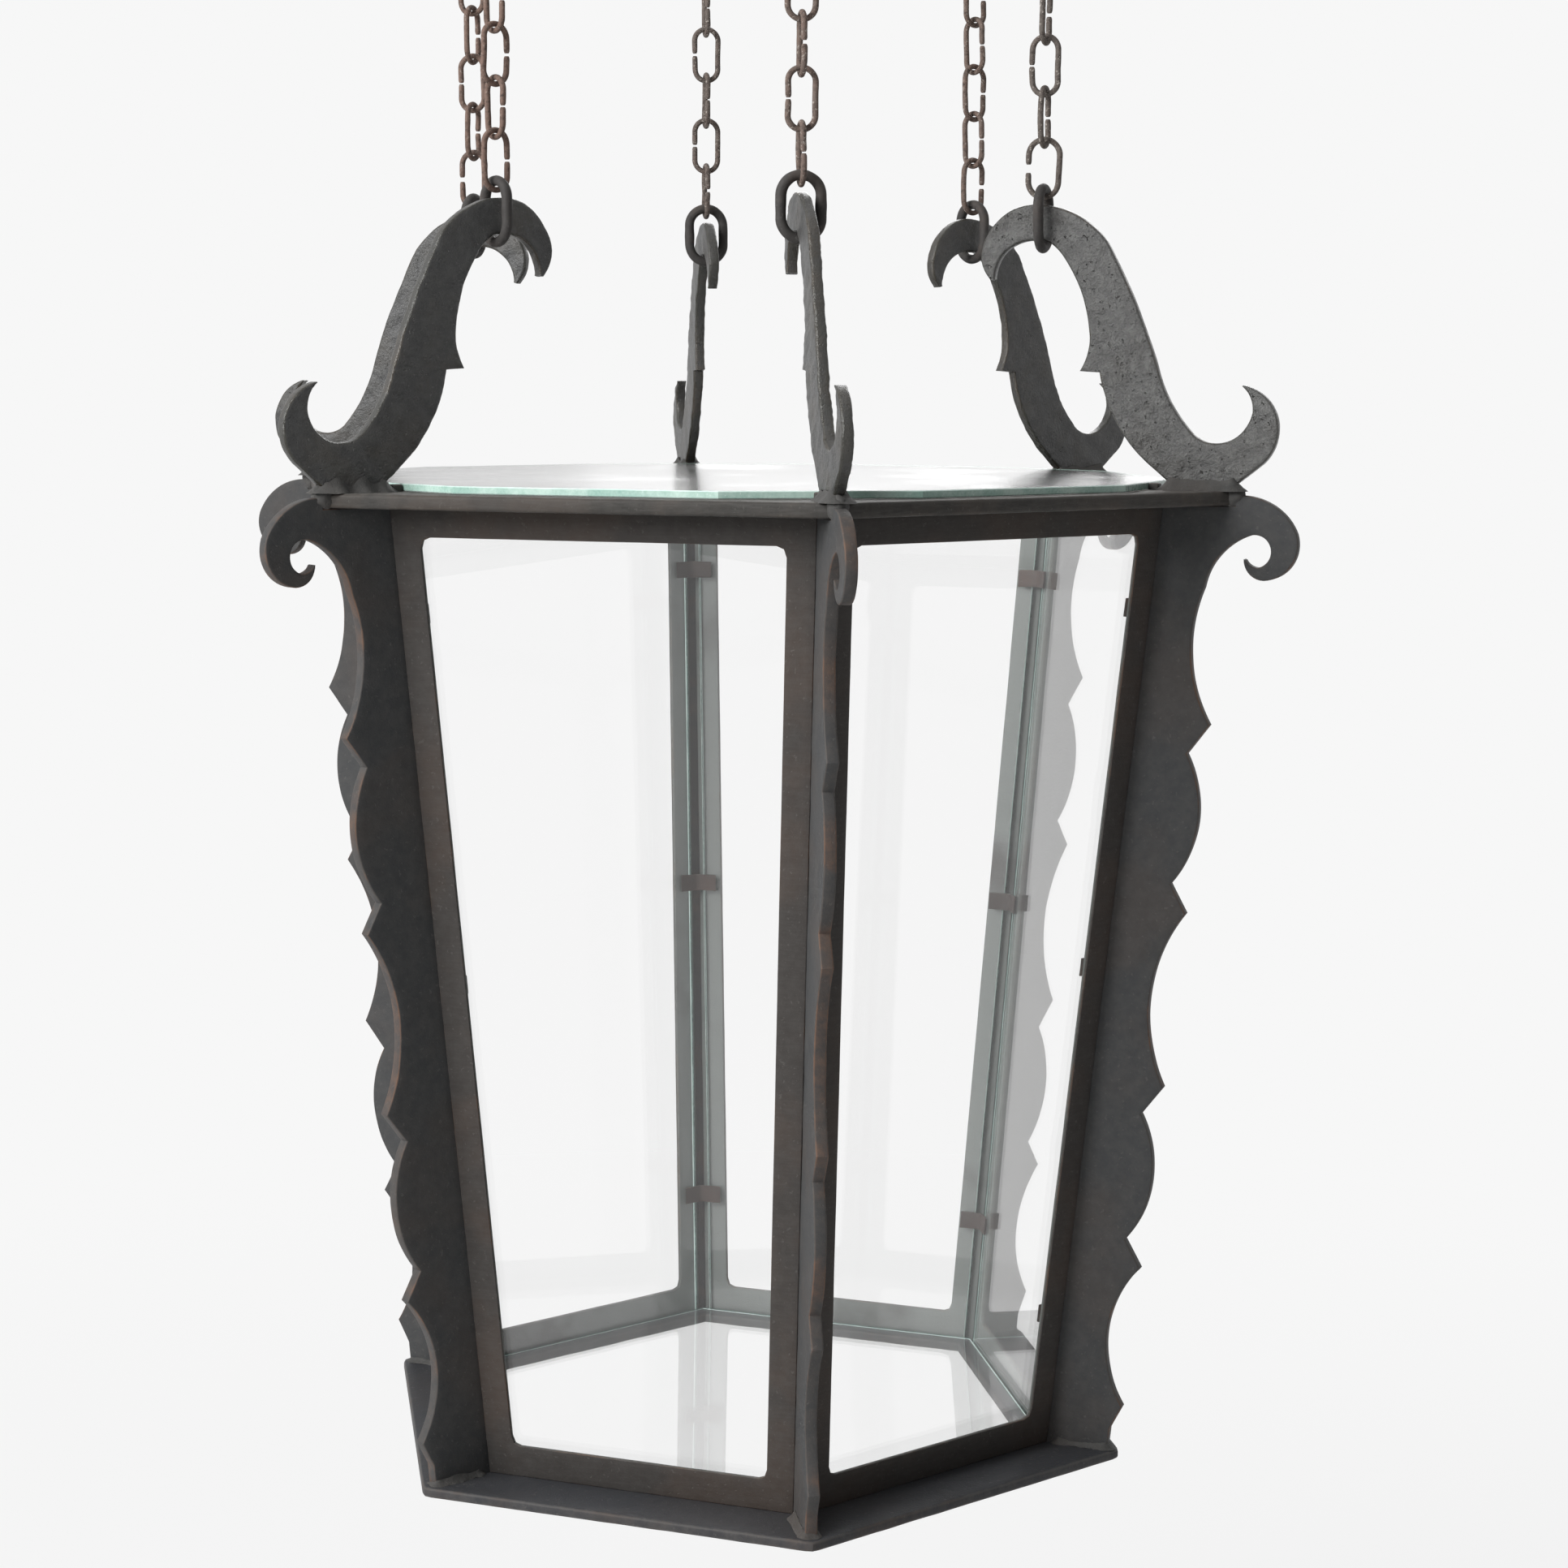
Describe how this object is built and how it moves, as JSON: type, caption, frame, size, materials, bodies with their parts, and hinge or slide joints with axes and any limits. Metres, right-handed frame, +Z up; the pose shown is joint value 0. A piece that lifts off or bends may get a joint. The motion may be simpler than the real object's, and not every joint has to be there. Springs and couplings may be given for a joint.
{
  "type": "hanging lantern",
  "caption": "Tapered six-sided iron lantern with glass sides, wavy corner fins and scroll brackets, hung level by chains from ceiling eyes.",
  "frame": {"origin": "centre of the six ceiling studs, on the ceiling's surface", "axes": "+Z up along the studs, and -Y towards the lantern's front corner, corner 1, from which the corners count anticlockwise seen from above"},
  "size_m": [0.551, 0.6322, 0.8906],
  "materials": {
    "black_iron": "matt black patina, worn to grey and brown in places",
    "brown_iron": "brown-black",
    "rusty_iron": "rust brown, unpainted",
    "glass": "clear float glass with green edges"
  },
  "bodies": {
    "ceiling": {"ceiling_eye_1": "rusty_iron", "ceiling_eye_2": "rusty_iron", "ceiling_eye_3": "rusty_iron", "ceiling_eye_4": "rusty_iron", "ceiling_eye_5": "rusty_iron", "ceiling_eye_6": "rusty_iron"},
    "top_link_1": {"top_link_1": "rusty_iron"},
    "chain_1": {"chain_links_1": "rusty_iron"},
    "shackle_1": {"shackle_1": "rusty_iron"},
    "top_link_2": {"top_link_2": "rusty_iron"},
    "chain_2": {"chain_links_2": "rusty_iron"},
    "shackle_2": {"shackle_2": "rusty_iron"},
    "top_link_3": {"top_link_3": "rusty_iron"},
    "chain_3": {"chain_links_3": "rusty_iron"},
    "shackle_3": {"shackle_3": "rusty_iron"},
    "top_link_4": {"top_link_4": "rusty_iron"},
    "chain_4": {"chain_links_4": "rusty_iron"},
    "shackle_4": {"shackle_4": "rusty_iron"},
    "top_link_5": {"top_link_5": "rusty_iron"},
    "chain_5": {"chain_links_5": "rusty_iron"},
    "shackle_5": {"shackle_5": "rusty_iron"},
    "top_link_6": {"top_link_6": "rusty_iron"},
    "chain_6": {"chain_links_6": "rusty_iron"},
    "shackle_6": {"shackle_6": "rusty_iron"},
    "lantern": {"top_ring": "black_iron", "bottom_ring": "black_iron", "top_pane": "glass", "bottom_pane": "glass", "glass_clips": "brown_iron", "pane_stops": "black_iron", "side_frame_1": "black_iron", "side_frame_2": "black_iron", "side_frame_3": "black_iron", "side_frame_4": "black_iron", "side_frame_5": "black_iron", "side_frame_6": "black_iron", "side_pane_1": "glass", "side_pane_2": "glass", "side_pane_3": "glass", "side_pane_4": "glass", "side_pane_5": "glass", "side_pane_6": "glass", "corner_fin_1": "black_iron", "corner_fin_2": "black_iron", "corner_fin_3": "black_iron", "corner_fin_4": "black_iron", "corner_fin_5": "black_iron", "corner_fin_6": "black_iron", "scroll_bracket_1": "black_iron", "scroll_bracket_2": "black_iron", "scroll_bracket_3": "black_iron", "scroll_bracket_4": "black_iron", "scroll_bracket_5": "black_iron", "scroll_bracket_6": "black_iron"}
  },
  "joints": [
    {"name": "top_link_1_swing", "type": "hinge", "parent": "ceiling", "child": "top_link_1", "pos_m": [0, -0.1715, -0.01785], "axis": [1, 0, 0], "range_deg": [-15, 15]},
    {"name": "chain_1_swing", "type": "hinge", "parent": "top_link_1", "child": "chain_1", "pos_m": [0, -0.1715, -0.04521], "axis": [0, 1, 0], "range_deg": [-15, 15]},
    {"name": "shackle_1_rock", "type": "hinge", "parent": "chain_1", "child": "shackle_1", "pos_m": [0, -0.1715, -0.15465], "axis": [0, 1, 0], "range_deg": [-15, 15]},
    {"name": "top_link_2_swing", "type": "hinge", "parent": "ceiling", "child": "top_link_2", "pos_m": [0.14852, -0.08575, -0.01785], "axis": [1, 0, 0], "range_deg": [-15, 15]},
    {"name": "chain_2_swing", "type": "hinge", "parent": "top_link_2", "child": "chain_2", "pos_m": [0.14852, -0.08575, -0.04521], "axis": [0, 1, 0], "range_deg": [-15, 15]},
    {"name": "shackle_2_rock", "type": "hinge", "parent": "chain_2", "child": "shackle_2", "pos_m": [0.14852, -0.08575, -0.15465], "axis": [0, 1, 0], "range_deg": [-15, 15]},
    {"name": "top_link_3_swing", "type": "hinge", "parent": "ceiling", "child": "top_link_3", "pos_m": [0.14852, 0.08575, -0.01785], "axis": [1, 0, 0], "range_deg": [-15, 15]},
    {"name": "chain_3_swing", "type": "hinge", "parent": "top_link_3", "child": "chain_3", "pos_m": [0.14852, 0.08575, -0.04521], "axis": [0, 1, 0], "range_deg": [-15, 15]},
    {"name": "shackle_3_rock", "type": "hinge", "parent": "chain_3", "child": "shackle_3", "pos_m": [0.14852, 0.08575, -0.15465], "axis": [0, 1, 0], "range_deg": [-15, 15]},
    {"name": "top_link_4_swing", "type": "hinge", "parent": "ceiling", "child": "top_link_4", "pos_m": [0, 0.1715, -0.01785], "axis": [1, 0, 0], "range_deg": [-15, 15]},
    {"name": "chain_4_swing", "type": "hinge", "parent": "top_link_4", "child": "chain_4", "pos_m": [0, 0.1715, -0.04521], "axis": [0, 1, 0], "range_deg": [-15, 15]},
    {"name": "shackle_4_rock", "type": "hinge", "parent": "chain_4", "child": "shackle_4", "pos_m": [0, 0.1715, -0.15465], "axis": [0, 1, 0], "range_deg": [-15, 15]},
    {"name": "top_link_5_swing", "type": "hinge", "parent": "ceiling", "child": "top_link_5", "pos_m": [-0.14852, 0.08575, -0.01785], "axis": [1, 0, 0], "range_deg": [-15, 15]},
    {"name": "chain_5_swing", "type": "hinge", "parent": "top_link_5", "child": "chain_5", "pos_m": [-0.14852, 0.08575, -0.04521], "axis": [0, 1, 0], "range_deg": [-15, 15]},
    {"name": "shackle_5_rock", "type": "hinge", "parent": "chain_5", "child": "shackle_5", "pos_m": [-0.14852, 0.08575, -0.15465], "axis": [0, 1, 0], "range_deg": [-15, 15]},
    {"name": "top_link_6_swing", "type": "hinge", "parent": "ceiling", "child": "top_link_6", "pos_m": [-0.14852, -0.08575, -0.01785], "axis": [1, 0, 0], "range_deg": [-15, 15]},
    {"name": "chain_6_swing", "type": "hinge", "parent": "top_link_6", "child": "chain_6", "pos_m": [-0.14852, -0.08575, -0.04521], "axis": [0, 1, 0], "range_deg": [-15, 15]},
    {"name": "shackle_6_rock", "type": "hinge", "parent": "chain_6", "child": "shackle_6", "pos_m": [-0.14852, -0.08575, -0.15465], "axis": [0, 1, 0], "range_deg": [-15, 15]},
    {"name": "lantern_rock", "type": "hinge", "parent": "shackle_1", "child": "lantern", "pos_m": [0, -0.1715, -0.1779], "axis": [1, 0, 0], "range_deg": [-15, 15]}
  ],
  "couplings": [
    {"joint": "shackle_1_rock", "follows": "chain_1_swing", "ratio": -1},
    {"joint": "top_link_2_swing", "follows": "top_link_1_swing", "ratio": 1},
    {"joint": "chain_2_swing", "follows": "chain_1_swing", "ratio": 1},
    {"joint": "shackle_2_rock", "follows": "chain_1_swing", "ratio": -1},
    {"joint": "top_link_3_swing", "follows": "top_link_1_swing", "ratio": 1},
    {"joint": "chain_3_swing", "follows": "chain_1_swing", "ratio": 1},
    {"joint": "shackle_3_rock", "follows": "chain_1_swing", "ratio": -1},
    {"joint": "top_link_4_swing", "follows": "top_link_1_swing", "ratio": 1},
    {"joint": "chain_4_swing", "follows": "chain_1_swing", "ratio": 1},
    {"joint": "shackle_4_rock", "follows": "chain_1_swing", "ratio": -1},
    {"joint": "top_link_5_swing", "follows": "top_link_1_swing", "ratio": 1},
    {"joint": "chain_5_swing", "follows": "chain_1_swing", "ratio": 1},
    {"joint": "shackle_5_rock", "follows": "chain_1_swing", "ratio": -1},
    {"joint": "top_link_6_swing", "follows": "top_link_1_swing", "ratio": 1},
    {"joint": "chain_6_swing", "follows": "chain_1_swing", "ratio": 1},
    {"joint": "shackle_6_rock", "follows": "chain_1_swing", "ratio": -1},
    {"joint": "lantern_rock", "follows": "top_link_1_swing", "ratio": -1}
  ]
}
